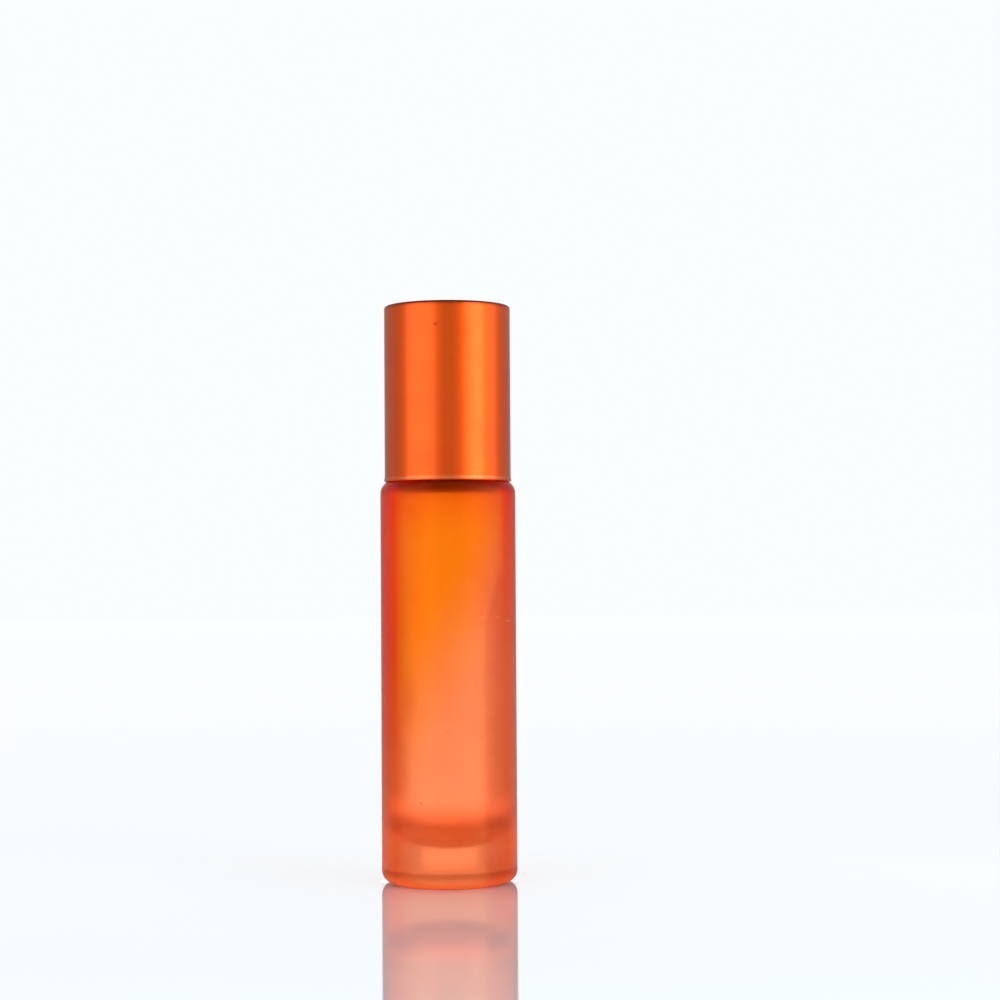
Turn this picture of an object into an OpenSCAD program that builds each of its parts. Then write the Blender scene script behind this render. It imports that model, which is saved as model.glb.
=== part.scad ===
// Roll-on bottle: a frosted glass bottle, the roller fitment in its neck and a screw cap.
// The axis is +Z, the standing ring rests on z = 0, and all lengths are in millimetres.
// The cap is drawn screwed down. Screw threads are left off the neck and the cap's bore.

/* [Glass body] */
// Outer diameter of the body
body_d = 20; // [19.4:0.1:22]
// Height of the shoulder's flat top above the standing ring
shoulder_h = 59.3; // [40:0.1:80]
// Radius of the rounded shoulder
shoulder_r = 2.1; // [1.8:0.1:3.2]
// Radius of the rounded heel
heel_r = 1.8; // [1.2:0.1:2.2]
// Thickness of the side wall
wall_t = 2.2; // [1.8:0.1:2.4]
// Height of the cavity's floor above the standing ring
base_t = 5.3; // [4:0.1:8]
// Thickness of the glass between the cavity's ceiling and the shoulder's top
ceiling_t = 1.1; // [0.9:0.1:2.8]
// Radius between the cavity's wall and its floor
floor_r = 6.6; // [3:0.1:7.6]
// Radius between the cavity's wall and its ceiling
ceiling_r = 1.2; // [1:0.1:2.2]
// Diameter of the hollow under the base
pushup_d = 14.6; // [11:0.1:14.8]
// Depth of the hollow under the base
pushup_h = 0.7; // [0.3:0.1:1.2]

/* [Neck] */
// Outer diameter of the neck between its threads
neck_d = 12.8; // [12.4:0.1:13]
// Height of the neck above the shoulder
neck_h = 10.6; // [9.8:0.1:13]
// Diameter of the neck's bore
bore_d = 10.3; // [10.1:0.05:10.6]
// Diameter over the crests of the neck's thread
thread_crest_d = 14.4; // [14:0.1:14.6]
// Fillet between the neck and the shoulder
neck_fillet_r = 0.5; // [0.2:0.05:0.6]
// Rounding of both edges of the neck's lip
lip_round_r = 0.35; // [0.15:0.05:0.4]

/* [Roller housing] */
// Depth of the plug below the neck's lip
plug_h = 6.6; // [5.8:0.1:8]
// Gap between the plug's wall and the bore, which the sealing ribs span
plug_gap = 0.3; // [0.2:0.05:0.4]
// Thickness of the plug's wall
plug_t = 0.85; // [0.6:0.05:1]
// Number of sealing ribs round the plug
seal_ribs = 3; // [2:1:4]
// Radius of a sealing rib's round section
seal_rib_r = 0.3; // [0.2:0.05:0.4]
// Height and inset of the chamfer that leads the plug into the bore
lead_in = 0.4; // [0.2:0.05:0.5]
// Thickness of the flange that sits on the lip
flange_t = 0.9; // [0.6:0.05:1.1]
// How far the flange stops short of the neck's outside
flange_inset = 0.2; // [0.1:0.05:0.3]
// Thickness of the collar's wall at the ball's widest point
collar_t = 0.82; // [0.7:0.02:1]
// Height of the collar's ledge above the ball's centre
ledge_h = 0.8; // [0.5:0.05:1]
// Height of the retaining lip's edge above the ball's centre
grip_h = 1.65; // [1.4:0.05:1.9]
// Thickness of the retaining lip
grip_t = 0.6; // [0.5:0.05:0.65]
// Thickness of the cup under the ball
cup_t = 0.9; // [0.7:0.05:1.2]
// Diameter of the feed hole in the cup
feed_hole_d = 3; // [2:0.1:4]
// Number of feed slots round the hole
feed_slots = 6; // [3:1:8]
// Width of a feed slot
feed_slot_w = 0.9; // [0.5:0.05:1]

/* [Ball] */
// Diameter of the ball
ball_d = 10; // [9.8:0.05:10.1]
// Running clearance between the ball and its socket
ball_gap = 0.08; // [0.05:0.01:0.12]
// Thickness of the housing's wall between the socket and the plug's outside, level with the lip
throat_t = 0.61; // [0.5:0.01:0.8]

/* [Cap liner] */
// Thickness of the sealing disc
liner_t = 1.6; // [0.8:0.05:2]
// Depth of the dimple that fits over the ball
dimple_h = 0.3; // [0.1:0.05:0.5]
// Gap between the ball and the dimple
seal_gap = 0.1; // [0.05:0.01:0.2]
// Clearance round the disc and at its two faces
liner_gap = 0.05; // [0.03:0.01:0.1]

/* [Inner cap] */
// Clearance between the thread's crests and the inner cap's bore
thread_gap = 0.1; // [0.05:0.01:0.2]
// Clearance between the neck's outside and the narrow upper bore
upper_gap = 0.35; // [0.25:0.05:0.5]
// Height of the narrow bore's start above the housing's flange
step_gap = 0.6; // [0.3:0.1:1.5]
// Gap between the inner cap's foot and the shoulder
foot_gap = 0.3; // [0.2:0.05:0.6]
// Height of the foot flange that closes the gaps between the press ribs
foot_h = 0.8; // [0.4:0.1:1.5]
// Thickness of the deck over the sealing disc
deck_t = 1.2; // [0.8:0.05:2]
// Height of the open crown above the deck
crown_h = 4.2; // [3:0.05:8]
// Thickness of the crown's wall
crown_t = 1; // [0.7:0.05:1.3]
// Radius of the bead that holds the sealing disc in
snap_bead_r = 0.25; // [0.15:0.05:0.3]
// Number of press ribs
press_ribs = 24; // [12:2:36]
// Height of a press rib
press_rib_h = 0.45; // [0.3:0.05:0.6]
// Width of a press rib
press_rib_w = 0.7; // [0.4:0.05:1]
// Clearance between the press ribs' crests and the shell
press_gap = 0.02; // [0.01:0.01:0.05]

/* [Cap shell] */
// Outer diameter of the shell
cap_d = 18.7; // [18.2:0.1:19]
// Thickness of the drawn metal
shell_t = 0.45; // [0.3:0.05:0.45]
// Radius of the shell's top corner
cap_corner_r = 0.5; // [0.46:0.02:0.9]
// Gap between the shell's rim and the shoulder below it
rim_gap = 0.1; // [0.1:0.05:0.4]

/* [Hidden] */
$fn = 96;

// How far every cut runs past the face it opens
overrun = 1;
// Least radius of the flat that stays at the middle of the cavity's floor
floor_flat_r = 0.1;
// Clearance between the sealing ribs' crests and the bore that they press on
seal_gap_radial = 0.02;
// How far the sealing ribs' row stops short of each end of the plug
rib_row_share = 0.18;
// Reach of a feed slot, as a share of the hollow plug's radius
feed_reach_share = 0.85;
// Rounding of the flange, as a share of its thickness
flange_round_share = 0.3;
// Rounding of the collar's ledge, as a share of the collar's wall
ledge_round_share = 0.36;
// Chamfer at the top of the press ribs, as a share of the crown's height
rib_stop_share = 0.12;
// Rounding of the sealing disc's edge, as a share of its thickness
liner_round_share = 0.25;
// Reach of the foot flange, as a share of the press ribs' height
foot_reach_share = 0.9;

// Bottle
body_r = body_d / 2;
cavity_r = body_r - wall_t;
floor_round_r = min(floor_r, cavity_r - floor_flat_r);
floor_start = base_t + floor_round_r;
bore_r = bore_d / 2;
neck_r = neck_d / 2;
flat_r = body_r - shoulder_r;
shoulder_start = shoulder_h - shoulder_r;
ceiling_h = shoulder_h - ceiling_t;
mouth_r = cavity_r - ceiling_r;
mouth_round_r = mouth_r - bore_r;
fillet_r = min(neck_fillet_r, flat_r - neck_r);
lip_z = shoulder_h + neck_h;
pushup_r = pushup_d / 2;

// Roller
ball_r = ball_d / 2;
socket_r = ball_r + ball_gap;
plug_r = bore_r - plug_gap;
ball_rise = sqrt(pow(socket_r, 2) - pow(plug_r - throat_t, 2));
ball_z = lip_z + ball_rise;
ball_top = ball_z + ball_r;
plug_bottom = lip_z - plug_h;
hollow_r = plug_r - plug_t;
flange_r = neck_r - flange_inset;
flange_top = lip_z + flange_t;
flange_round_r = flange_t * flange_round_share;
collar_r = socket_r + collar_t;
ledge_z = ball_z + ledge_h;
ledge_round_r = collar_t * ledge_round_share;
grip_z = ball_z + grip_h;
grip_in_r = sqrt(pow(socket_r, 2) - pow(grip_h, 2));
grip_r = grip_t / 2;
seal_rib_x = bore_r - seal_gap_radial - seal_rib_r;

// Cap
shell_r = cap_d / 2;
shell_in_r = shell_r - shell_t;
rim_drop_x = max(shell_in_r - flat_r, 0);
rim_z = shoulder_start + sqrt(pow(shoulder_r, 2) - pow(rim_drop_x, 2)) + rim_gap;
cap_bore_r = thread_crest_d / 2 + thread_gap;
upper_bore_r = neck_r + upper_gap;
liner_r = upper_bore_r - liner_gap;
liner_z = ball_top + seal_gap - dimple_h;
liner_top = liner_z + liner_t;
liner_round_r = liner_t * liner_round_share;
foot_z = shoulder_h + foot_gap;
step_z = flange_top + step_gap;
deck_z = liner_top + liner_gap;
deck_top = deck_z + deck_t;
crown_top = deck_top + crown_h;
core_r = shell_in_r - press_rib_h;
crown_r = core_r - crown_t;
rib_crest_r = shell_in_r - press_gap;
foot_r = core_r + press_rib_h * foot_reach_share;
rib_stop_h = crown_h * rib_stop_share;
cap_top = crown_top + shell_t;

glass_colour = [0.95, 0.42, 0.14];
metal_colour = [0.85, 0.35, 0.08];
ball_colour = [0.70, 0.76, 0.72];
housing_colour = [0.93, 0.94, 0.93];
liner_colour = [0.97, 0.97, 0.95];
inner_cap_colour = [0.96, 0.96, 0.96];

// A band of a half section, from radius r0 to r1 and from height z0 to z1.
module band(r0, r1, z0, z1) {
  translate([r0, z0]) square([r1 - r0, z1 - z0]);
}

// A round of radius r centred at radius x and height z of a half section.
module round_at(x, z, r) {
  translate([x, z]) circle(r = r);
}

// A solid half section with straight sides whose top corner is rounded.
module rounded_top(r, z0, z1, corner_r) {
  band(0, r, z0, z1 - corner_r);
  band(0, r - corner_r, z0, z1);
  round_at(r - corner_r, z1 - corner_r, corner_r);
}

// The concave corner of radius r that lies outside a wall at radius x, on a floor at height z.
module inside_corner(x, z, r) {
  difference() {
    band(x, x + r, z, z + r);
    round_at(x + r, z + r, r);
  }
}

// Outside of the bottle: heel, wall, shoulder, neck fillet and lip.
module bottle_outside() {
  band(0, body_r, heel_r, shoulder_start);
  band(0, body_r - heel_r, 0, heel_r);
  round_at(body_r - heel_r, heel_r, heel_r);
  band(0, flat_r, shoulder_start, shoulder_h);
  round_at(flat_r, shoulder_start, shoulder_r);
  rounded_top(neck_r, shoulder_start, lip_z, lip_round_r);
  inside_corner(neck_r, shoulder_h, fillet_r);
}

// Inside of the bottle: rounded floor, wall, rounded ceiling and the neck's bore.
module bottle_inside() {
  band(0, cavity_r, floor_start, ceiling_h - ceiling_r);
  band(0, cavity_r - floor_round_r, base_t, floor_start);
  intersection() {
    round_at(cavity_r - floor_round_r, floor_start, floor_round_r);
    band(0, cavity_r, base_t, ceiling_h);
  }
  band(0, mouth_r, ceiling_h - ceiling_r, ceiling_h);
  round_at(mouth_r, ceiling_h - ceiling_r, ceiling_r);
  band(0, bore_r, ceiling_h - ceiling_r, lip_z + overrun);
  inside_corner(bore_r, ceiling_h, mouth_round_r);
  difference() {
    band(bore_r - lip_round_r, bore_r + lip_round_r, lip_z - lip_round_r, lip_z + overrun);
    round_at(bore_r + lip_round_r, lip_z - lip_round_r, lip_round_r);
  }
}

// The shallow dome that is pushed up into the base.
module pushup_dome() {
  dome_r = (pow(pushup_r, 2) + pow(pushup_h, 2)) / (2 * pushup_h);
  intersection() {
    translate([0, pushup_h - dome_r]) circle(r = dome_r, $fn = 4 * $fn);
    band(0, pushup_r + overrun, -overrun, pushup_h);
  }
}

// Moulded glass bottle with a thick base and a straight neck.
module glass_bottle() {
  color(glass_colour) rotate_extrude() difference() {
    bottle_outside();
    bottle_inside();
    pushup_dome();
  }
}

// Outside of the roller housing: plug, sealing ribs, flange, collar and retaining lip.
module housing_outside() {
  rib_low = plug_bottom + plug_h * rib_row_share;
  rib_high = lip_z - plug_h * rib_row_share;
  band(0, plug_r, plug_bottom + lead_in, lip_z);
  polygon([
    [0, plug_bottom],
    [plug_r - lead_in, plug_bottom],
    [plug_r, plug_bottom + lead_in],
    [0, plug_bottom + lead_in]
  ]);
  for (i = [0:seal_ribs - 1]) {
    round_at(seal_rib_x, rib_low + (rib_high - rib_low) * i / (seal_ribs - 1), seal_rib_r);
  }
  rounded_top(flange_r, lip_z, flange_top, flange_round_r);
  rounded_top(collar_r, lip_z, ledge_z, ledge_round_r);
  band(0, grip_in_r + grip_t, lip_z, grip_z);
  round_at(grip_in_r + grip_r, grip_z, grip_r);
}

// Hollow of the plug under the ball's cup.
module housing_hollow() {
  difference() {
    band(0, hollow_r, plug_bottom - overrun, ball_z);
    round_at(0, ball_z, socket_r + cup_t);
  }
}

// One feed slot: a straight cut through the cup with a round outer end.
module feed_slot() {
  reach = hollow_r * feed_reach_share;
  cut_z = ball_z - socket_r - cup_t - overrun;
  cut_h = socket_r + overrun;
  translate([0, -feed_slot_w / 2, cut_z]) cube([reach - feed_slot_w / 2, feed_slot_w, cut_h]);
  translate([reach - feed_slot_w / 2, 0, cut_z]) cylinder(d = feed_slot_w, h = cut_h);
}

// Moulded fitment: a plug in the bore, a flange on the lip and a spherical socket whose
// thin lip snaps over the ball. Liquid reaches the ball through the hole and slots.
module roller_housing() {
  color(housing_colour) difference() {
    rotate_extrude() difference() {
      housing_outside();
      housing_hollow();
      band(0, feed_hole_d / 2, plug_bottom, ball_z);
    }
    translate([0, 0, ball_z]) sphere(r = socket_r);
    translate([0, 0, grip_z]) cylinder(r = grip_in_r, h = grip_t);
    for (i = [0:feed_slots - 1]) rotate(360 * i / feed_slots) feed_slot();
  }
}

// Solid glass ball.
module roller_ball() {
  color(ball_colour) translate([0, 0, ball_z]) sphere(r = ball_r);
}

// Soft disc under the cap's deck, dimpled where it closes over the ball.
module cap_liner() {
  color(liner_colour) difference() {
    rotate_extrude() {
      band(0, liner_r, liner_z + liner_round_r, liner_top);
      band(0, liner_r - liner_round_r, liner_z, liner_top);
      round_at(liner_r - liner_round_r, liner_z + liner_round_r, liner_round_r);
    }
    translate([0, 0, ball_z]) sphere(r = ball_r + seal_gap);
  }
}

// Half section of the inner cap: a tube with a foot flange, closed by a deck part way up.
module inner_cap_section() {
  difference() {
    union() {
      band(0, core_r, foot_z, crown_top);
      band(0, foot_r, foot_z, foot_z + foot_h);
    }
    band(0, cap_bore_r, foot_z - overrun, step_z);
    difference() {
      band(0, upper_bore_r, foot_z, deck_z);
      round_at(upper_bore_r, liner_z - liner_gap - snap_bead_r, snap_bead_r);
    }
    band(0, crown_r, deck_top, crown_top + overrun);
  }
}

// Ring of press ribs in plan: bars through the axis, cut to the core outside and the shell.
module press_rib_plan() {
  difference() {
    intersection() {
      circle(r = rib_crest_r);
      for (i = [0:press_ribs / 2 - 1]) {
        rotate(360 * i / press_ribs) square([2 * shell_r, press_rib_w], center = true);
      }
    }
    circle(r = core_r - press_rib_h / 2);
  }
}

// Moulded inner cap that screws on the neck and carries the metal shell on its press ribs.
module inner_cap() {
  color(inner_cap_colour) {
    rotate_extrude() inner_cap_section();
    translate([0, 0, foot_z + foot_h / 2])
      linear_extrude(crown_top - rib_stop_h - foot_z - foot_h / 2) press_rib_plan();
  }
}

// Drawn metal shell with a flat top, a tight corner and a rounded rim.
module cap_shell() {
  color(metal_colour) rotate_extrude() {
    difference() {
      rounded_top(shell_r, rim_z + shell_t / 2, cap_top, cap_corner_r);
      rounded_top(shell_in_r, rim_z - overrun, crown_top, cap_corner_r - shell_t);
    }
    round_at(shell_in_r + shell_t / 2, rim_z + shell_t / 2, shell_t / 2);
  }
}

glass_bottle();
roller_housing();
roller_ball();
cap_liner();
inner_cap();
cap_shell();
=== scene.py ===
# %% [markdown]
# # A frosted roll-on bottle
# This lesson dresses a small cosmetic bottle: a coated, frosted glass body, a satin metal
# cap, and inside the cap a glass ball in its plastic housing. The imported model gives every
# piece its place and size, so the first cell only loads it and measures it.

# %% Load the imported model
import math

import bpy
from mathutils import Matrix, Vector


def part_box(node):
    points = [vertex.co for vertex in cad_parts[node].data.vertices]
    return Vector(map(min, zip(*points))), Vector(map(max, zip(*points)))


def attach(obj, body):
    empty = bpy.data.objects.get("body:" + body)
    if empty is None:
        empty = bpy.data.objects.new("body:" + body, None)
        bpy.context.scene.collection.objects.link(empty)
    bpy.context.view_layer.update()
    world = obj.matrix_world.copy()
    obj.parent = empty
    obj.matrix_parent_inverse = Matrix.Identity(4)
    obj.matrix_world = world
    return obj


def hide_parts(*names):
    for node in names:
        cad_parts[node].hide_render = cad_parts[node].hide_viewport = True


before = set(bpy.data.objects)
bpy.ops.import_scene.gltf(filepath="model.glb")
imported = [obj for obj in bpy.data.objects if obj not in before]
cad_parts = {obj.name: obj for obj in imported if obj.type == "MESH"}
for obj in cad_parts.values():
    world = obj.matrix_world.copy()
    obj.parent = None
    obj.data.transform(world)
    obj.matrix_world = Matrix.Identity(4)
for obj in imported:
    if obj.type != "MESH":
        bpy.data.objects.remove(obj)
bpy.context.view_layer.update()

# %% [markdown]
# ## Sizes
# Blender works in metres, and a bottle is drawn in millimetres, so sizes are written as a
# number times MM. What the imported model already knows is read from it. The rest, such as
# the radii of the rounded corners, is what the maker's drawing gives for this bottle, and
# stands in the cell that uses it.

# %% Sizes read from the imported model
MM = 0.001
bottle_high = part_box("glass_bottle")[1]
shell_low, shell_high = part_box("cap_shell")
body_r = bottle_high.x
lip_z = bottle_high.z
shell_r = shell_high.x
rim_z = shell_low.z
cap_top = shell_high.z
print("body radius", body_r, "lip height", lip_z, "cap from", rim_z, "to", cap_top)

# %% [markdown]
# ## Camera
# The camera comes first, because every later choice is judged through it. It stands in
# front of the bottle, a little below its middle, and looks almost level. Its distance and
# lens follow from how many pixels wide the 20 mm body is and from how strongly the rims
# curve. The two small turns put the bottle where it stands in the picture. They could be
# found by moving the camera by hand, but worked out they stay right when a size changes.

# %% What the picture shows
PICTURE = 1000
SENSOR = 36 * MM
camera_distance = 330 * MM
eye_height = 47.35 * MM
body_width_px = 134.9
axis_px = 447.5
eye_row_px = 559.6
lean = math.radians(-0.34)

focal_px = body_width_px / (2 * body_r) * camera_distance
aim_px = Matrix.Rotation(-lean, 2) @ Vector((axis_px - PICTURE / 2, PICTURE / 2 - eye_row_px))
tilt = math.atan(-aim_px.y / focal_px)
pan = math.atan(aim_px.x * math.cos(tilt) / focal_px)
print("tilt", round(math.degrees(tilt), 2), "and pan", round(math.degrees(pan), 2), "degrees")

# %% Camera
camera_data = bpy.data.cameras.new("camera")
camera_data.sensor_width = SENSOR / MM
camera_data.lens = focal_px / PICTURE * SENSOR / MM
camera_data.clip_start = 10 * MM
camera_data.clip_end = 10
camera = bpy.data.objects.new("camera", camera_data)
bpy.context.scene.collection.objects.link(camera)
turn = Matrix.Rotation(pan, 4, "Z") @ Matrix.Rotation(math.radians(90) + tilt, 4, "X")
turn = turn @ Matrix.Rotation(lean, 4, "Z")
camera.matrix_world = Matrix.Translation((0, -camera_distance, eye_height)) @ turn
bpy.context.scene.camera = camera
print("lens", round(camera_data.lens, 2), "mm")

# %% [markdown]
# ## Small tools for nodes
# Materials are node trees. In the shader editor each node is placed and wired by hand. In
# a script a few short helpers keep that readable: one adds a node and sets its values, some
# stand for a little arithmetic, one makes a material with its shader, and two make and
# place a node group, so that an effect is built once and used by several finishes.

# %% Adding a node and wiring it
def add_node(tree, kind, settings=None, **values):
    """A new node; settings are its own options, and values go to its input sockets by name."""
    node = tree.nodes.new(kind)
    for name, value in (settings or {}).items():
        setattr(node, name, value)
    for name, value in values.items():
        node.inputs[name.replace("_", " ")].default_value = value
    return node


def feed(tree, socket, value):
    """Give a socket a number or colour, or link it when the value is another node's output."""
    if isinstance(value, bpy.types.NodeSocket):
        tree.links.new(value, socket)
    else:
        socket.default_value = value


def split(tree, vector):
    """The X, Y and Z of a linked vector."""
    node = add_node(tree, "ShaderNodeSeparateXYZ")
    tree.links.new(vector, node.inputs[0])
    return node.outputs["X"], node.outputs["Y"], node.outputs["Z"]


print("made add_node, feed and split")


# %% Arithmetic with nodes
def combine(tree, operation, first, second=0.0):
    """Two values put through one math node; each is a number or a node's output."""
    node = add_node(tree, "ShaderNodeMath", {"operation": operation})
    feed(tree, node.inputs[0], first)
    feed(tree, node.inputs[1], second)
    return node.outputs[0]


def product(tree, first, *others):
    """All the values multiplied together."""
    for other in others:
        first = combine(tree, "MULTIPLY", first, other)
    return first


def largest(tree, first, *others):
    """The largest of the values."""
    for other in others:
        first = combine(tree, "MAXIMUM", first, other)
    return first


def between(tree, share, low, high):
    """The low value where the share is 0, the high value where it is 1."""
    return combine(tree, "ADD", product(tree, share, high - low), low)


def distance(tree, first, second):
    """How far a place is from zero, from its two coordinates."""
    squares = combine(tree, "ADD", product(tree, first, first), product(tree, second, second))
    return combine(tree, "SQRT", squares)


print("made combine, product, largest, between and distance")


# %% Soft steps and mixed colours
def ramp_in(tree, value, low, high):
    """A smooth 0 to 1 as the linked value goes from low to high."""
    node = add_node(tree, "ShaderNodeMapRange", {"interpolation_type": "SMOOTHSTEP"})
    feed(tree, node.inputs["From Min"], low)
    feed(tree, node.inputs["From Max"], high)
    feed(tree, node.inputs["Value"], value)
    return node.outputs["Result"]


def mixed(tree, factor, first, second, blend="MIX"):
    """A colour mixed from two; each is a colour or a node's output."""
    node = add_node(tree, "ShaderNodeMix", {"data_type": "RGBA", "blend_type": blend})
    feed(tree, node.inputs["Factor"], factor)
    feed(tree, node.inputs["A"], first)
    feed(tree, node.inputs["B"], second)
    return node.outputs["Result"]


def tinted(tree, tone, mask, tint):
    """The tone, multiplied by the tint where the mask is 1."""
    return mixed(tree, mask, tone, (*tint, 1), "MULTIPLY")


print("made ramp_in, mixed and tinted")


# %% Materials and node groups
def new_material(name, **values):
    """A material with one Principled shader, whose sockets get the values given by name."""
    made = bpy.data.materials.new(name)
    made.use_nodes = True
    shader = made.node_tree.nodes["Principled BSDF"]
    for socket, value in values.items():
        shader.inputs[socket.replace("_", " ")].default_value = value
    print("material", name)
    return made, made.node_tree, shader


def new_group(name, inputs, output):
    """An empty node group: inputs map a socket's name to its value, and it puts out one number."""
    group = bpy.data.node_groups.new(name, "ShaderNodeTree")
    for label, value in inputs.items():
        socket = group.interface.new_socket(label, in_out="INPUT", socket_type="NodeSocketFloat")
        socket.default_value = value
    group.interface.new_socket(output, in_out="OUTPUT", socket_type="NodeSocketFloat")
    print("node group", name)
    return group, group.nodes.new("NodeGroupInput").outputs, group.nodes.new("NodeGroupOutput").inputs


def place_group(tree, group, **values):
    """The output of the node group, placed in a material with its own values."""
    node = tree.nodes.new("ShaderNodeGroup")
    node.node_tree = group
    for label, value in values.items():
        node.inputs[label.replace("_", " ")].default_value = value
    return node.outputs[0]


def place_on_object(tree):
    """The X, Y and Z of the shaded point in the piece's own space, in metres."""
    return split(tree, add_node(tree, "ShaderNodeTexCoord").outputs["Object"])


print("made new_material, new_group, place_group and place_on_object")

# %% [markdown]
# ## The studio
# The bottle stands on a glossy white sheet in front of a white backdrop. Walls and cards
# could be modelled, but a world shader does the same with no objects, when its brightness
# follows the direction in which a ray leaves. The camera, and a ray that has passed through
# the glass, see plain white. A reflection sees the backdrop straight behind the bottle, a
# greyer room at the sides and in front, and a darker ceiling.

# %% Direction of a ray
world = bpy.data.worlds.new("studio")
world.use_nodes = True
bpy.context.scene.world = world
tree = world.node_tree
direction = add_node(tree, "ShaderNodeTexCoord").outputs["Generated"]
flatten = add_node(tree, "ShaderNodeVectorMath", {"operation": "MULTIPLY"})
flatten.inputs[1].default_value = (1, 1, 0)
tree.links.new(direction, flatten.inputs[0])
level_direction = add_node(tree, "ShaderNodeVectorMath", {"operation": "NORMALIZE"})
tree.links.new(flatten.outputs[0], level_direction.inputs[0])
away = split(tree, level_direction.outputs[0])[1]
upward = split(tree, direction)[2]
path = add_node(tree, "ShaderNodeLightPath").outputs
print("world", world.name)


# %% Backdrop and room
def off_behind(degrees):
    """What `away` is for a level ray this many degrees off straight behind the bottle."""
    return math.cos(math.radians(degrees))


backdrop_sides = (off_behind(19), off_behind(14))
backdrop_top = math.sin(math.radians(62))
backdrop_fade = 0.3
side_level = 0.5
front_level = 0.55
full_front = -0.8
behind = ramp_in(tree, away, *backdrop_sides)
behind = product(tree, behind, ramp_in(tree, upward, backdrop_top, backdrop_top - backdrop_fade))
around = between(tree, ramp_in(tree, away, 0.0, full_front), side_level, front_level)
print("world level", side_level, "at the sides,", front_level, "in front and 1 behind")

# %% [markdown]
# A round metal cap with nothing dark beside the backdrop looks flat. A photographer puts a
# dark card, called a flag, on either side of it, and the cap's edges turn dark. Here the
# flags and the ceiling are a lower level that only reflections see, so the light that
# falls on the bottle stays even.

# %% Ceiling and flags
ceiling_range = (math.sin(math.radians(32)), math.sin(math.radians(52)))
ceiling_share = 0.3
flag_sides = (off_behind(62), off_behind(42))
flag_share = 0.8
overhead = product(tree, ramp_in(tree, upward, *ceiling_range), path["Is Glossy Ray"])
around = product(tree, around, between(tree, overhead, 1.0, ceiling_share))
flags = product(tree, ramp_in(tree, away, *flag_sides), path["Is Glossy Ray"])
around = product(tree, around, between(tree, flags, 1.0, flag_share))
print("ceiling at", ceiling_share, "and flags at", flag_share, "of the room's level")

# %% Colour and strength of the world
backdrop_colour = (0.955, 0.985, 1.0, 1)
glass_sees_colour = (1.0, 1.0, 1.0, 1)
plain = largest(tree, path["Is Camera Ray"], path["Is Transmission Ray"])
background = tree.nodes["Background"]
world_colour = mixed(tree, path["Is Transmission Ray"], backdrop_colour, glass_sees_colour)
feed(tree, background.inputs["Color"], world_colour)
feed(tree, background.inputs["Strength"], largest(tree, behind, around, plain))
print("backdrop colour", backdrop_colour[:3])

# %% [markdown]
# ## White sheet
# The sheet is a pale polished plate. The camera looks along it, and at so low an angle it
# throws back about half of the light, as a fainter mirror image of the bottle's foot. One
# square is enough for it. Its clear coat is what mirrors, and the pale colour below takes
# the bottle's shadow.

# %% Sheet
sheet_half = 1.5
sheet_mesh = bpy.data.meshes.new("floor")
corners = [(-sheet_half, -sheet_half, 0), (sheet_half, -sheet_half, 0)]
corners += [(sheet_half, sheet_half, 0), (-sheet_half, sheet_half, 0)]
sheet_mesh.from_pydata(corners, [], [(0, 1, 2, 3)])
sheet = bpy.data.objects.new("floor", sheet_mesh)
bpy.context.scene.collection.objects.link(sheet)
white_sheet, tree, shader = new_material(
    "white_sheet",
    Base_Color=(0.76, 0.96, 1.0, 1),
    Roughness=0.05,
    IOR=1.5,
    Coat_Weight=1.0,
    Coat_Roughness=0.03,
    Emission_Color=(1.0, 0.72, 0.74, 1),
)
sheet_mesh.materials.append(white_sheet)

# %% [markdown]
# Lit by the room alone the sheet would look grey, and more lamps would also burn out the
# bottle. So it glows a little, for the camera only. Where it mirrors the bottle the glow
# has to stop, or the mirror image would turn pale. That strip is as wide as the bottle
# where they meet and narrower towards the camera, because the camera looks along it.

# %% Glow of the open sheet
sheet_glow = 0.185
mirror_glow = 0.008
strip_sides = (0.97 * body_r, 1.03 * body_r)
strip_end = (-0.3 * body_r, 0.0)
far_range = (0.2, 1.4)
far_share = 0.65
path = add_node(tree, "ShaderNodeLightPath").outputs
across, along, _ = place_on_object(tree)
nearness = combine(tree, "ADD", product(tree, along, 1 / camera_distance), 1.0)
strip_reach = combine(tree, "DIVIDE", combine(tree, "ABSOLUTE", across), nearness)
beside = ramp_in(tree, strip_reach, *strip_sides)
beyond = ramp_in(tree, along, *strip_end)
glow = between(tree, largest(tree, beside, beyond), mirror_glow, sheet_glow)
glow = product(tree, glow, between(tree, ramp_in(tree, along, *far_range), 1.0, far_share))
print("glow of the sheet", sheet_glow, "and of the mirror strip", mirror_glow)

# %% [markdown]
# Two places need a value of their own. In the narrow gap under the rounded heel the sheet
# is bright, because light gets in from behind. And a ray that has come through the glass
# sees the sheet bright too, but darker close under the bottle, where it lies in the shade.

# %% Glow in the gap and through the glass
gap_glow = 0.4
glow_through_glass = 0.78
shaded_glow = 0.40
gap_ring = (1.06 * body_r, 0.98 * body_r)
gap_from = (-0.2 * body_r, 0.0)
shade_range = (0.5 * body_r, 1.6 * body_r)
from_axis = distance(tree, across, along)
gap = product(tree, ramp_in(tree, from_axis, *gap_ring), ramp_in(tree, along, *gap_from))
glow = combine(tree, "ADD", glow, product(tree, gap, gap_glow))
lit = between(tree, ramp_in(tree, from_axis, *shade_range), shaded_glow, glow_through_glass)
to_camera = product(tree, path["Is Camera Ray"], glow)
to_glass = product(tree, path["Is Transmission Ray"], lit)
feed(tree, shader.inputs["Emission Strength"], largest(tree, to_camera, to_glass))
print("glow in the gap", gap_glow, "and through the glass", glow_through_glass)


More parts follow.
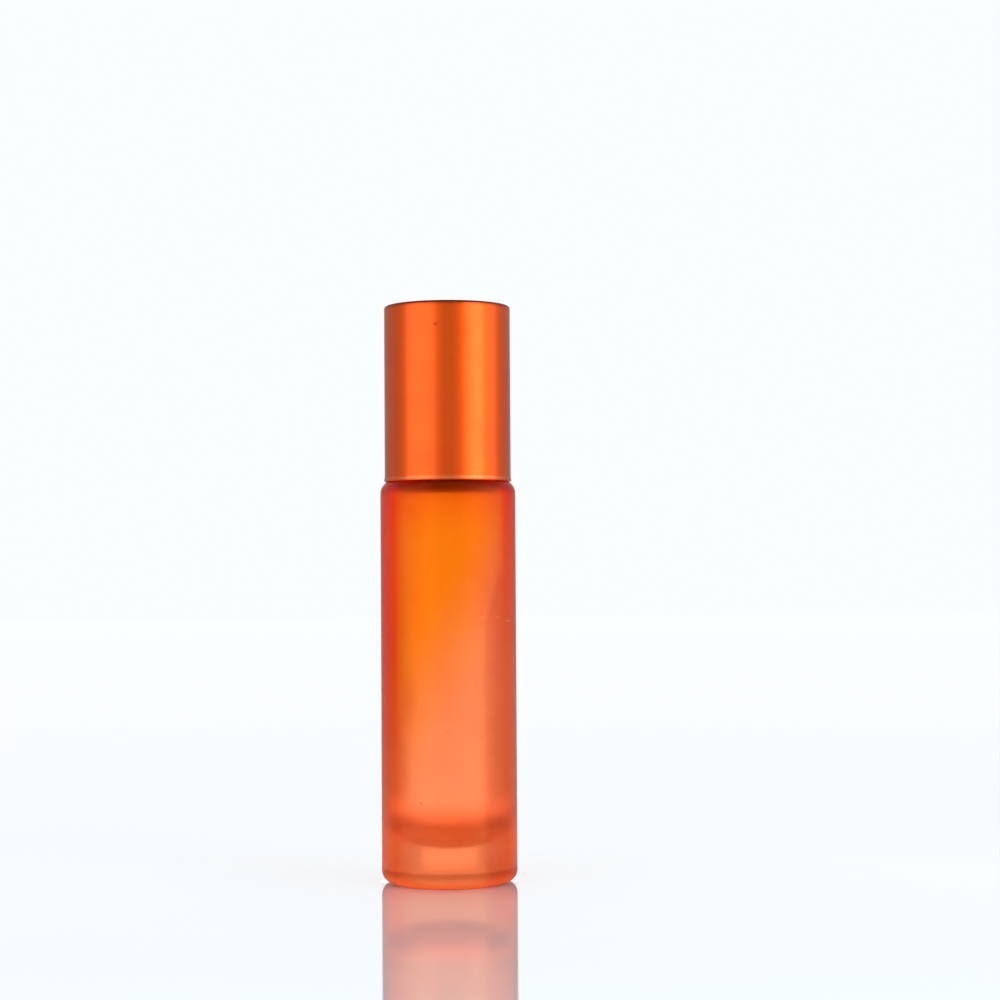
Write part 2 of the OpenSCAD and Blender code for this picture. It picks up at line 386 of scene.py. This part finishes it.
# %% [markdown]
# ## Lamps
# Four tall soft boxes stand almost level with the bottle. A satin cylinder shows each of
# them as an upright band, so their places follow from where the bands lie on the cap: a
# wide box on the left, and on the right a narrower one with a strip before its outer half.
# The darker room between them is the dark band down the middle of the cap. The fourth box,
# far round on the right, only lights that edge of the bottle. A lamp from above would
# light everything alike and wash the bands out, so there is none.

# %% Soft box
def soft_box(name, azimuth, reach, width, power, elevation=6, height=0.6):
    """An area lamp aimed at the bottle's middle; azimuth 0 is the camera's side."""
    aim = Vector((0, 0, eye_height))
    turn_by, rise = math.radians(azimuth), math.radians(elevation)
    outward = Vector((
        math.sin(turn_by) * math.cos(rise), -math.cos(turn_by) * math.cos(rise), math.sin(rise),
    ))
    data = bpy.data.lights.new(name, "AREA")
    data.shape = "RECTANGLE"
    data.size = width
    data.size_y = height
    data.energy = power
    lamp = bpy.data.objects.new(name, data)
    lamp.location = aim + outward * reach
    lamp.rotation_mode = "QUATERNION"
    lamp.rotation_quaternion = outward.to_track_quat("Z", "Y")
    lamp.visible_camera = False
    bpy.context.scene.collection.objects.link(lamp)
    print("lamp", name, "at", azimuth, "degrees,", power, "W")


# %% Lamps
soft_box("left_box", azimuth=-50, reach=0.5, width=0.52, power=1.25)
soft_box("right_box", azimuth=51, reach=0.5, width=0.34, power=1.3)
soft_box("right_strip", azimuth=57, reach=0.49, width=0.14, power=0.25)
soft_box("right_fill", azimuth=85, reach=0.5, width=0.22, power=0.4)


# %% [markdown]
# ## Turned shapes
# The bottle and the cap are round, so one tool makes them both: a lathe. It takes an outline
# of radius and height pairs and carries it round the axis. Blender's Screw modifier would
# do that too, but an own lathe can also move the surface in or out at each place, which is
# how a screw thread is formed in the same closed mesh. Round corners in the outline are
# arcs with their own centre and radius.

# %% Parts of an outline
def arc(centre_r, centre_z, radius, start, end, steps=12):
    """Points of an arc in the outline, from the start to the end angle in degrees."""
    angles = [math.radians(start + (end - start) * i / steps) for i in range(steps + 1)]
    return [(centre_r + radius * math.cos(a), centre_z + radius * math.sin(a)) for a in angles]


def straight(start, end, steps):
    """Points between two corners of the outline, without the corners."""
    shares = [i / steps for i in range(1, steps)]
    return [tuple(a + (b - a) * share for a, b in zip(start, end)) for share in shares]


print("a quarter arc has", len(arc(0, 0, 1, 0, 90)), "points")


# %% Smooth piece
def smooth_piece(name, points, faces, sharp_from):
    """A smooth-shaded object, sharp where its faces meet at more than the given degrees."""
    mesh = bpy.data.meshes.new(name)
    mesh.from_pydata(points, [], faces)
    mesh.shade_smooth()
    mesh.set_sharp_from_angle(angle=math.radians(sharp_from))
    piece = bpy.data.objects.new(name, mesh)
    bpy.context.scene.collection.objects.link(piece)
    print(name, len(mesh.vertices), "points", len(mesh.polygons), "faces")
    return piece


print("made smooth_piece")


# %% Lathe
ON_AXIS = 1e-7


def ring_faces(low, high, turns):
    """The faces between two rings of points; a ring of one point is a tip on the axis."""
    faces = []
    for i in range(turns):
        j = (i + 1) % turns
        corner = [low[i % len(low)], low[j % len(low)], high[j % len(high)], high[i % len(high)]]
        faces.append(list(dict.fromkeys(corner)))
    return faces


def lathe(name, outline, turns=192, shape=None):
    """A closed mesh turned from the outline, which starts and ends on the axis."""
    points = []
    rings = []
    for r, z in outline:
        count = 1 if r < ON_AXIS else turns
        rings.append([len(points) + i for i in range(count)])
        for i in range(count):
            angle = 2 * math.pi * i / turns
            here = r + (shape(angle, r, z) if shape else 0)
            points.append((here * math.cos(angle), here * math.sin(angle), z))
    faces = [face for low, high in zip(rings, rings[1:]) for face in ring_faces(low, high, turns)]
    return smooth_piece(name, points, faces, sharp_from=40)


print("made the lathe")


# %% [markdown]
# ## Screw thread
# The neck carries one and a half turns of a rounded right-hand thread. Climbing one lead
# for each turn is all a helix is, so the height of the ridge at an angle is simple sums.
# The ridge swells in and fades out at its ends, as a moulded glass thread does.

# %% Thread profile
thread_lead = 2.5 * MM
thread_turns = 1.5
thread_half_width = 0.62 * MM
thread_top_share = 0.3
thread_fade = math.radians(28)


def ease(x):
    """A smooth step from 0 to 1."""
    x = min(max(x, 0), 1)
    return x * x * (3 - 2 * x)


def swell(along, turns):
    """How far the ridge has grown at an angle along it: 0 at both ends and 1 between."""
    return ease(along / thread_fade) * ease((2 * math.pi * turns - along) / thread_fade)


def thread_ridge(angle, z, start_z):
    """How high the neck's ridge stands here, from 0 to 1."""
    tallest = 0
    for turn_count in range(int(thread_turns) + 1):
        along = angle + 2 * math.pi * turn_count
        if along > 2 * math.pi * thread_turns:
            continue
        off = abs(z - start_z - thread_lead * along / (2 * math.pi)) / thread_half_width
        side = 1 - ease((off - thread_top_share) / (1 - thread_top_share))
        tallest = max(tallest, side * swell(along, thread_turns))
    return tallest


print("thread of", thread_turns, "turns,", thread_turns * thread_lead, "m high")

# %% [markdown]
# ## Glass bottle
# The real bottle is moulded with a thick base, a shallow push-up inside its standing ring,
# a fine seam round the heel where the mould parts, and a straight neck. A solid shape in
# the colour of the bottle would not do: the dark crescent low in the bottle is light bent
# by the round bottom of its cavity. So the outline runs from the axis under the base, up
# the outside, over the lip and down the inside to the cavity's floor, and the glass is one
# closed wall. The seam is a groove of 0.012 mm, which shows only as a fine line.

# %% Base and side of the bottle
shoulder_top = 59.3 * MM
shoulder_r = 2.1 * MM
shoulder_z = shoulder_top - shoulder_r
heel_r = 1.8 * MM
seam_z = 2.3 * MM
seam_half = 0.2 * MM
seam_depth = 0.012 * MM
seam_shares = [(0, -1), (1, -0.4), (1, 0.4), (0, 1)]
pushup_r = 7.3 * MM
pushup_h = 0.7 * MM
dome_r = (pushup_r ** 2 + pushup_h ** 2) / (2 * pushup_h)
dome_edge = math.degrees(math.asin(pushup_r / dome_r))

outline = [(0, pushup_h)] + arc(0, pushup_h - dome_r, dome_r, 90, 90 - dome_edge)[1:]
underside_end = len(outline)
outline += arc(body_r - heel_r, heel_r, heel_r, -90, 0, steps=16)
outline += [(body_r - deep * seam_depth, seam_z + up * seam_half) for deep, up in seam_shares]
outline += straight((body_r, seam_z + seam_half), (body_r, shoulder_z), steps=40)
outline += arc(body_r - shoulder_r, shoulder_z, shoulder_r, 0, 90, steps=18)
print("base and side of", len(outline), "points")

# %% Neck and bore
neck_r = 6.4 * MM
neck_fillet = 0.5 * MM
bore_r = 5.15 * MM
lip_round = 0.35 * MM
ceiling_z = 58.2 * MM
ceiling_round = 1.2 * MM
cavity_r = 7.8 * MM
mouth_r = cavity_r - ceiling_round
mouth_round = mouth_r - bore_r

outline += arc(neck_r + neck_fillet, shoulder_top + neck_fillet, neck_fillet, 270, 180, steps=8)
outline += straight((neck_r, shoulder_top + neck_fillet), (neck_r, lip_z - lip_round), steps=110)
outline += arc(neck_r - lip_round, lip_z - lip_round, lip_round, 0, 90, steps=6)
inside_start = len(outline)
outline += arc(bore_r + lip_round, lip_z - lip_round, lip_round, 90, 180, steps=6)
outline += straight((bore_r, lip_z - lip_round), (bore_r, ceiling_z + mouth_round), steps=10)
outline += arc(mouth_r, ceiling_z + mouth_round, mouth_round, 180, 270, steps=8)
outline += arc(mouth_r, ceiling_z - ceiling_round, ceiling_round, 90, 0, steps=12)
print("the inside starts at point", inside_start)

# %% [markdown]
# The cavity was blown, so air and not metal shaped its bottom: not quite a half ball, but
# fuller at its corners. An arc with a flat between would show a hard line where they meet.
# A superellipse draws the whole curve with one number, its power.

# %% Floor of the cavity
cavity_floor = 5.3 * MM
floor_curve_h = 8.6 * MM
floor_power = 2 / 2.6
floor_steps = 36
floor_curve_top = cavity_floor + floor_curve_h

outline += straight((cavity_r, ceiling_z - ceiling_round), (cavity_r, floor_curve_top), steps=60)
for i in range(floor_steps):
    bend = math.radians(90 * i / floor_steps)
    share_out, share_down = math.cos(bend) ** floor_power, math.sin(bend) ** floor_power
    outline.append((cavity_r * share_out, floor_curve_top - floor_curve_h * share_down))
outline.append((0, cavity_floor))
print("whole outline of", len(outline), "points")

# %% [markdown]
# The lathe now turns the outline into the bottle.

# %% Bottle mesh
thread_height = 0.78 * MM
thread_start = lip_z - 6.6 * MM
same_radius = 0.01 * MM
bottle_turns = 192


def neck_shape(angle, r, z):
    """The thread on the neck's outside; nothing anywhere else."""
    if abs(r - neck_r) > same_radius:
        return 0
    return thread_height * thread_ridge(angle, z, thread_start)


bottle = lathe("bottle_glass", outline, bottle_turns, neck_shape)
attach(bottle, "bottle")
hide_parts("glass_bottle")

# %% [markdown]
# ## Shared surface effects
# No real surface is perfectly even, and several finishes here need the same two effects.
# Fine grain is a small noise that tilts the surface a little. A soft mark is an oval spot
# at a given place on the front, for a patch of painted shade, a speck or a scuff. Each could
# be built again in every material, but as a node group it is built once and placed with its
# own values.

# %% Grain group
grain_group, grain_in, grain_out = new_group("fine_grain", {"Scale": 4000, "Detail": 3}, "Height")
place = add_node(grain_group, "ShaderNodeTexCoord").outputs["Object"]
noise = add_node(grain_group, "ShaderNodeTexNoise")
grain_group.links.new(place, noise.inputs["Vector"])
grain_group.links.new(grain_in["Scale"], noise.inputs["Scale"])
grain_group.links.new(grain_in["Detail"], noise.inputs["Detail"])
grain_group.links.new(noise.outputs["Fac"], grain_out["Height"])


def add_grain(tree, shader, scale, strength, depth):
    """Bump from the fine grain group on a shader's Normal."""
    bump = add_node(tree, "ShaderNodeBump", Strength=strength, Distance=depth)
    tree.links.new(place_group(tree, grain_group, Scale=scale), bump.inputs["Height"])
    tree.links.new(bump.outputs["Normal"], shader.inputs["Normal"])


def cloud(tree, scale, low, high):
    """Soft patches from the grain group at a large size, from 0 to 1."""
    return ramp_in(tree, place_group(tree, grain_group, Scale=scale, Detail=2), low, high)


# %% Soft mark group
mark_values = {"Across": 0, "Height": 0, "Half Width": MM, "Half Height": MM, "Softness": 1}
front_side = (0.0, -0.5 * MM)
sharpest_edge = 0.999
mark_group, mark_in, mark_out = new_group("soft_mark", mark_values, "Mask")
x, y, z = place_on_object(mark_group)
off_x = combine(mark_group, "SUBTRACT", x, mark_in["Across"])
off_x = combine(mark_group, "DIVIDE", off_x, mark_in["Half Width"])
off_z = combine(mark_group, "SUBTRACT", z, mark_in["Height"])
off_z = combine(mark_group, "DIVIDE", off_z, mark_in["Half Height"])
from_middle = distance(mark_group, off_x, off_z)
solid_part = combine(mark_group, "SUBTRACT", sharpest_edge, mark_in["Softness"])
spot = ramp_in(mark_group, from_middle, 1.0, solid_part)
on_front = ramp_in(mark_group, y, *front_side)
feed(mark_group, mark_out["Mask"], product(mark_group, spot, on_front))


def marks(tree, places_mm, softness=1.0):
    """The mask of several marks, each given as across, height, half width and half height."""
    masks = []
    for across, height, half_width, half_height in places_mm:
        masks.append(place_group(
            tree, mark_group, Across=across * MM, Height=height * MM,
            Half_Width=half_width * MM, Half_Height=half_height * MM, Softness=softness,
        ))
    return largest(tree, *masks)


# %% [markdown]
# ## Frosted coat
# The outside of the glass is etched and sprayed with a clear orange lacquer, so light
# passes through it but is scattered. A mix of a diffuse and a transparent shader would look
# like paper, so this is glass: full transmission, roughness for the etch, and the lacquer
# as the colour that each ray takes on as it crosses the wall. Its gloss is tinted orange
# too, because etched lacquer has almost no white shine. Low down the orange is painted
# paler, as painted light, and the border between the two leans.

# %% Lacquer tone, and painted light low down
frosted_wall, tree, shader = new_material(
    "frosted_wall",
    IOR=1.5,
    Specular_Tint=(0.3, 0.1, 0.03, 1),
    Transmission_Weight=1.0,
)
add_grain(tree, shader, scale=5000, strength=0.25, depth=0.05 * MM)
# The lower tone is painted light: low down the orange is painted paler, under a leaning border.
upper_tone = (1.0, 0.20, 0.004, 1)
painted_light_tone = (1.0, 0.245, 0.095, 1)
fade_range = (46 * MM, 18 * MM)
fade_lean = -1.4
x, y, z = place_on_object(tree)
leaning_height = combine(tree, "ADD", product(tree, x, fade_lean), z)
painted_light_low = ramp_in(tree, leaning_height, *fade_range)
tone = mixed(tree, painted_light_low, upper_tone, painted_light_tone)
print("the lacquer turns pale over the heights", fade_range)

# %% [markdown]
# Seen edge-on, a ray crosses much more lacquer, which makes the two dark red strips at the
# sides. Layer Weight's Facing says how edge-on the surface is seen. The strip is wider
# low down, where painted light makes the orange paler, and a little narrower on the right.

# %% Dark side strips
edge_start_upper, edge_start_lower = 0.19, 0.08
edge_end = 0.42
right_side = (0.5 * body_r, 0.8 * body_r)
right_side_less = 0.07
edge_tone_upper = (1.0, 0.10, 0.04, 1)
edge_tone_lower = (1.0, 0.395, 0.095, 1)
side_range = (0.25 * body_r, 0.6 * body_r)
upper_half = (30 * MM, 42 * MM)
side_tint = (1.0, 0.85, 1.0)
facing = add_node(tree, "ShaderNodeLayerWeight", Blend=0.5).outputs["Facing"]
narrower = product(tree, ramp_in(tree, x, *right_side), right_side_less)
edge_start = between(tree, painted_light_low, edge_start_upper, edge_start_lower)
edge = ramp_in(tree, combine(tree, "SUBTRACT", facing, narrower), edge_start, edge_end)
edge_tone = mixed(tree, painted_light_low, edge_tone_upper, edge_tone_lower)
tone = mixed(tree, edge, tone, edge_tone, "MULTIPLY")
off_centre = ramp_in(tree, combine(tree, "ABSOLUTE", x), *side_range)
high_up = ramp_in(tree, z, *upper_half)
tone = tinted(tree, tone, product(tree, off_centre, high_up), side_tint)
print("side strips from facing", edge_start_lower, "to", edge_end)

# %% [markdown]
# Three bands go round the bottle. Near the cap less light gets in, and that shade is painted
# as a deeper colour. Just below the rim the shoulder is painted darker, as the painted
# shadow of the cap. At the heel a little lacquer has gathered. A soft cloudiness over
# everything keeps the coat alive.

# %% Bands round the bottle
under_cap_range, under_cap_tint = (50 * MM, 57.5 * MM), (1.0, 0.72, 1.0)
# Painted shadow of the cap: the shoulder just below the rim is painted darker.
cap_shadow_range, cap_shadow_tint = (57.0 * MM, 57.9 * MM), (0.75, 0.50, 0.80)
heel_range, heel_tint = (3.0 * MM, 0.8 * MM), (1.0, 0.8, 0.6)
patch_tint = (0.95, 0.86, 0.80)
tone = tinted(tree, tone, ramp_in(tree, z, *under_cap_range), under_cap_tint)
tone = tinted(tree, tone, ramp_in(tree, z, *cap_shadow_range), cap_shadow_tint)
heel = ramp_in(tree, z, *heel_range)
tone = tinted(tree, tone, heel, heel_tint)
tone = tinted(tree, tone, cloud(tree, scale=170, low=0.45, high=0.75), patch_tint)
print("shoulder tint", cap_shadow_tint, "and heel tint", heel_tint)

# %% [markdown]
# Down the right side a darker band is painted shade, and its steep upper border leans
# outwards. A long dark patch on the left is painted shade too. The real bottle has been
# handled: it has three faint spots, one dark speck and short pale scuffs. Painted in an
# image, these would need the mesh unwrapped. As masks in the piece's own space they need
# nothing more.

# %% Painted shade down the right side
# Painted shade: a darker band down the right of the front, below a leaning upper border.
right_shade_left_edge = (4.5 * MM, 5.9 * MM)
right_shade_right_edge = (9.0 * MM, 7.0 * MM)
right_shade_lean = -4.05
right_shade_upper = (18.5 * MM, 14.5 * MM)
right_shade_top = (48 * MM, 43 * MM)
right_shade_tint = (0.86, 0.62, 0.58)
right_shade_border = combine(tree, "ADD", product(tree, x, right_shade_lean), z)
right_shade = product(
    tree,
    ramp_in(tree, x, *right_shade_left_edge),
    ramp_in(tree, x, *right_shade_right_edge),
    ramp_in(tree, right_shade_border, *right_shade_upper),
    ramp_in(tree, z, *right_shade_top),
    ramp_in(tree, y, *front_side),
)
tone = tinted(tree, tone, right_shade, right_shade_tint)
print("run of lacquer", right_shade_tint)

# %% Painted shade on the left, spots, speck and scuffs
# Painted shade: a long dark patch on the left; the spots, the speck and the scuffs are the bottle's
# own marks.
left_shade_mm = [(-5.6, 27.5, 1.8, 6.5)]
faint_spots_mm = [(1.9, 36.2, 0.5, 0.3), (-0.2, 22.8, 0.9, 0.6), (4.67, 21.8, 0.4, 0.7)]
specks_mm = [(-4.1, 12.5, 0.28, 0.28)]
scuffs_mm = [(4.9, 39.1, 0.5, 0.11), (7.1, 39.1, 0.25, 0.1), (8.65, 38.45, 0.5, 0.12)]
left_shade_tint = (0.84, 0.60, 0.62)
faint_tint = (0.93, 0.80, 0.75)
speck_tint = (0.6, 0.35, 0.3)
scuff_tone = (1.0, 0.5, 0.3, 1)
scuff_share = 0.5
tone = tinted(tree, tone, marks(tree, left_shade_mm), left_shade_tint)
tone = tinted(tree, tone, marks(tree, faint_spots_mm), faint_tint)
tone = tinted(tree, tone, marks(tree, specks_mm, softness=0.8), speck_tint)
scuffed = product(tree, marks(tree, scuffs_mm, softness=0.7), scuff_share)
tone = mixed(tree, scuffed, tone, scuff_tone)
feed(tree, shader.inputs["Base Color"], tone)
print("marks", len(left_shade_mm + faint_spots_mm + specks_mm + scuffs_mm))

# %% How rough the etch is
etched_roughness = 0.28
heel_roughness = 0.45
rub_roughness = 0.03
etch = between(tree, heel, etched_roughness, heel_roughness)
rub = product(tree, cloud(tree, scale=600, low=0.4, high=0.7), rub_roughness)
feed(tree, shader.inputs["Roughness"], combine(tree, "ADD", etch, rub))
bottle.data.materials.append(frosted_wall)
print("roughness", etched_roughness, "on the wall and", heel_roughness, "at the heel")

# %% [markdown]
# ## Inside and underside of the glass
# The inside was never etched or sprayed. It is bare, clear and smooth, down to the last few
# millimetres, where the thick glass cooled last and stayed uneven. Shown as roughness, that
# unevenness makes the crescent soft. There the inside is also painted a deeper orange, as
# painted shade that darkens the crescent. The underside is frosted too, and orange from
# what lacquer gathered there. One mesh can carry a material for each of its surfaces.

# %% Bare inside
inside_roughness = 0.05
floor_roughness = 0.5
clear_glass = (0.97, 0.99, 0.98, 1)
# Painted shade: the deeper orange low in the cavity darkens the crescent.
crescent_shade_tone = (1.0, 0.67, 0.45, 1)
floor_range = (cavity_floor + 6.8 * MM, cavity_floor + 1.2 * MM)
bare_inside, tree, shader = new_material(
    "bare_inside",
    IOR=1.5,
    Specular_Tint=(0.4, 0.4, 0.4, 1),
    Transmission_Weight=1.0,
)
x, y, z = place_on_object(tree)
low_down = ramp_in(tree, z, *floor_range)
feed(tree, shader.inputs["Base Color"], mixed(tree, low_down, clear_glass, crescent_shade_tone))
feed(tree, shader.inputs["Roughness"], between(tree, low_down, inside_roughness, floor_roughness))
bottle.data.materials.append(bare_inside)

# %% Frosted underside
pooled_tone = (1.0, 0.36, 0.10, 1)
pooled_deep_tone = (0.96, 0.30, 0.07, 1)
frosted_underside, tree, shader = new_material(
    "frosted_underside",
    Roughness=0.6,
    IOR=1.5,
    Specular_Tint=(0.3, 0.1, 0.03, 1),
    Transmission_Weight=1.0,
)
add_grain(tree, shader, scale=4000, strength=0.3, depth=0.05 * MM)
pooled = mixed(tree, cloud(tree, scale=300, low=0.4, high=0.7), pooled_tone, pooled_deep_tone)
feed(tree, shader.inputs["Base Color"], pooled)
bottle.data.materials.append(frosted_underside)

# %% [markdown]
# The lathe made its faces ring by ring in the outline's order, so a face's number says
# which part of the outline it belongs to, and nothing has to be selected by hand.

# %% One material for each surface
for polygon in bottle.data.polygons:
    ring = polygon.index // bottle_turns
    if ring >= inside_start - 1:
        polygon.material_index = 1
    elif ring < underside_end:
        polygon.material_index = 2
print("inside faces", sum(p.material_index == 1 for p in bottle.data.polygons))

# %% [markdown]
# ## Metal cap
# The shell is drawn from thin aluminium, so it is one thin wall of even thickness with a
# tight corner at the top. Its rim is rolled out by less than a tenth of a millimetre, and
# the bead catches a fine line of light just above the glass.
#
# The corner inside shares the centre of the corner outside, as in bent sheet. The wall is
# 0.03 mm thicker than that round, so the line inside closes to a fold of 0.03 mm. It lies
# within the metal, where no view reaches it.

# %% Cap shell sizes
shell_t = 0.45 * MM
cap_corner = 0.42 * MM
bead_out = 0.08 * MM
bead_h = 0.75 * MM
bead_steps = 12
rim_round = 0.1 * MM
rim_flat = 0.05 * MM
rim_bevel = 0.1 * MM
rim_bevel_h = 0.05 * MM
rim_drop = 0.17 * MM
shell_in_r = shell_r - shell_t
shell_in_top = cap_top - shell_t
corner_r = shell_r - cap_corner
corner_z = cap_top - cap_corner
rim_low = rim_z - rim_drop
print("inside of the shell: radius", shell_in_r, "up to", shell_in_top)

# %% Cap shell mesh
outline = [(0, shell_in_top)]
outline += arc(corner_r, corner_z, cap_corner - shell_t, 90, 0, steps=4)
outline += straight((shell_in_r, corner_z), (shell_in_r, rim_z + shell_t / 2), steps=12)
outline += [(shell_in_r + rim_bevel, rim_z + rim_bevel_h), (shell_r - rim_flat, rim_low)]
outline += arc(shell_r + bead_out - rim_round, rim_low + rim_round, rim_round, -90, 0, steps=5)
outline += [
    (shell_r + bead_out * ease(1 - i / bead_steps), rim_z + bead_h * i / bead_steps)
    for i in range(1, bead_steps)
]
outline += straight((shell_r, rim_z + bead_h), (shell_r, corner_z), steps=24)
outline += arc(corner_r, corner_z, cap_corner, 0, 90, steps=10)
outline.append((0, cap_top))
shell = lathe("cap_metal_shell", outline, turns=256)
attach(shell, "cap")
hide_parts("cap_shell")

# %% [markdown]
# ## Anodised finish
# Anodising grows a hard oxide layer that is dyed orange, over metal that was first made
# satin. A metallic shader with the dye as its colour gives the coloured reflections, and
# its roughness spreads each lamp into a soft band. A thin clear coat over it adds the paler
# sheen of the oxide. Just above the rim a lighter line is painted in, as a painted
# highlight along the bead. Round the sharp top corner a darker tone is painted in, as a
# painted dark reflection.

# %% Dyed metal
dyed_metal = (0.95, 0.105, 0.002, 1)
dyed_patch = (0.91, 0.098, 0.002, 1)
satin_roughness = 0.36
patch_roughness = 0.03
anodised, tree, shader = new_material(
    "anodised_metal", Metallic=1.0, Coat_Weight=0.35, Coat_Roughness=0.15,
)
add_grain(tree, shader, scale=9000, strength=0.12, depth=0.01 * MM)
patchy = cloud(tree, scale=250, low=0.4, high=0.75)
tone = mixed(tree, patchy, dyed_metal, dyed_patch)
uneven = product(tree, patchy, patch_roughness)
feed(tree, shader.inputs["Roughness"], combine(tree, "ADD", uneven, satin_roughness))
shell.data.materials.append(anodised)

# %% Painted highlight line at the rim
# Painted highlight: a lighter line of uneven strength just above the rim, along the bead.
rim_highlight_tone = (0.95, 0.30, 0.12, 1)
highlight_least, highlight_most = 0.3, 0.45
line_top = (rim_z + 0.55 * MM, rim_z + 0.3 * MM)
line_bottom = (rim_z - 0.05 * MM, rim_z + 0.15 * MM)
x, y, z = place_on_object(tree)
painted_rim_highlight = product(
    tree,
    ramp_in(tree, z, *line_top),
    between(tree, cloud(tree, scale=900, low=0.3, high=0.6), highlight_least, highlight_most),
    ramp_in(tree, z, *line_bottom),
)
tone = mixed(tree, painted_rim_highlight, tone, rim_highlight_tone)
print("rim line worn by", highlight_least, "to", highlight_most)

# %% Painted dark reflection at the top corner, and specks
# Painted shade: the top corner is painted darker, as a painted dark reflection; the specks are real
# dirt.
corner_side = (shell_r - 0.9 * MM, shell_r - 0.3 * MM)
corner_height = (cap_top - 0.85 * MM, cap_top - 0.1 * MM)
corner_shade_tint = (0.42, 0.30, 0.30)
cap_top_mm = cap_top / MM
cap_specks_mm = [(3.1, cap_top_mm - 1.0, 0.3, 0.18), (-1.7, cap_top_mm - 3.5, 0.5, 0.3)]
cap_speck_tint = (0.6, 0.55, 0.55)
at_side = ramp_in(tree, distance(tree, x, y), *corner_side)
painted_corner_shade = product(tree, at_side, ramp_in(tree, z, *corner_height))
tone = tinted(tree, tone, painted_corner_shade, corner_shade_tint)
tone = tinted(tree, tone, marks(tree, cap_specks_mm, softness=0.8), cap_speck_tint)
feed(tree, shader.inputs["Base Color"], tone)
print("specks on the cap", len(cap_specks_mm))


# %% [markdown]
# ## Pieces inside the cap
# The housing, the ball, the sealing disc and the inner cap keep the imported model's own
# shapes, which are exact, and only get their finishes here. The housing is natural
# polyethylene, which light enters and leaves again a little further on: that is subsurface
# scattering, with a share of plain transmission where the wall is thin.

# %% Housing and ball
def finish_node(name, material):
    """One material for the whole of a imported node."""
    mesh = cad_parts[name].data
    mesh.materials.clear()
    mesh.materials.append(material)


housing_plastic, tree, shader = new_material(
    "housing_plastic", Base_Color=(0.86, 0.89, 0.88, 1), Roughness=0.35, IOR=1.51,
    Subsurface_Weight=0.5, Subsurface_Scale=1.5 * MM, Transmission_Weight=0.35,
)
add_grain(tree, shader, scale=3000, strength=0.1, depth=0.02 * MM)
finish_node("roller_housing", housing_plastic)

ball_glass, tree, shader = new_material(
    "ball_glass", Base_Color=(0.80, 0.88, 0.84, 1), Roughness=0.03, IOR=1.52, Transmission_Weight=1.0,
)
add_grain(tree, shader, scale=300, strength=0.05, depth=0.02 * MM)
finish_node("roller_ball", ball_glass)

# %% [markdown]
# The sealing disc is foamed, so it is matt with a coarser grain. The inner cap is smooth
# white plastic that lets in only a little light.

# %% Sealing disc and inner cap
liner_foam, tree, shader = new_material(
    "liner_foam", Base_Color=(0.90, 0.90, 0.88, 1), Roughness=0.7, Subsurface_Weight=0.2,
    Subsurface_Scale=0.5 * MM,
)
add_grain(tree, shader, scale=2500, strength=0.4, depth=0.05 * MM)
finish_node("cap_liner", liner_foam)

inner_plastic, tree, shader = new_material(
    "inner_plastic", Base_Color=(0.88, 0.89, 0.88, 1), Roughness=0.3, Subsurface_Weight=0.3,
    Subsurface_Scale=1.0 * MM,
)
add_grain(tree, shader, scale=1500, strength=0.1, depth=0.02 * MM)
finish_node("inner_cap", inner_plastic)

# %% [markdown]
# ## Thread inside the cap
# The inner cap needs a thread too, or it could not hold the neck. It is a ridge swept along
# the same helix as the neck's, half a lead lower, so that each runs in the other's groove.
# The lathe can't be used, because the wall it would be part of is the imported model's. So
# four corner points are carried along the helix, with the root sunk into the plastic wall
# and the ends tapering away.

# %% Points of the cap's thread
ridge_root = 7.5 * MM
ridge_crest = 6.68 * MM
ridge_half = 0.46 * MM
ridge_top_half = 0.16 * MM
ridge_least = 0.02
ridge_steps = 216
ridge_start = thread_start - thread_lead / 2
points = []
for step in range(ridge_steps + 1):
    angle = 2 * math.pi * thread_turns * step / ridge_steps
    height = ridge_start + thread_lead * angle / (2 * math.pi)
    crest = ridge_root + (ridge_crest - ridge_root) * max(swell(angle, thread_turns), ridge_least)
    section = [(ridge_root, -ridge_half), (crest, -ridge_top_half)]
    section += [(crest, ridge_top_half), (ridge_root, ridge_half)]
    points += [(r * math.cos(angle), r * math.sin(angle), height + up) for r, up in section]
print("thread ridge of", len(points), "points")

# %% Mesh of the cap's thread
corners = range(4)
faces = [(0, 1, 2, 3), tuple(4 * ridge_steps + i for i in reversed(corners))]
for step in range(ridge_steps):
    for i in corners:
        j = (i + 1) % 4
        faces.append((4 * step + i, 4 * step + 4 + i, 4 * step + 4 + j, 4 * step + j))
ridge = smooth_piece("cap_inner_thread", points, faces, sharp_from=30)
ridge.data.materials.append(inner_plastic)
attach(ridge, "cap")

# %% [markdown]
# ## Last steps
# The view transform is plain.

# %% View transform
bpy.context.scene.view_settings.view_transform = "Standard"
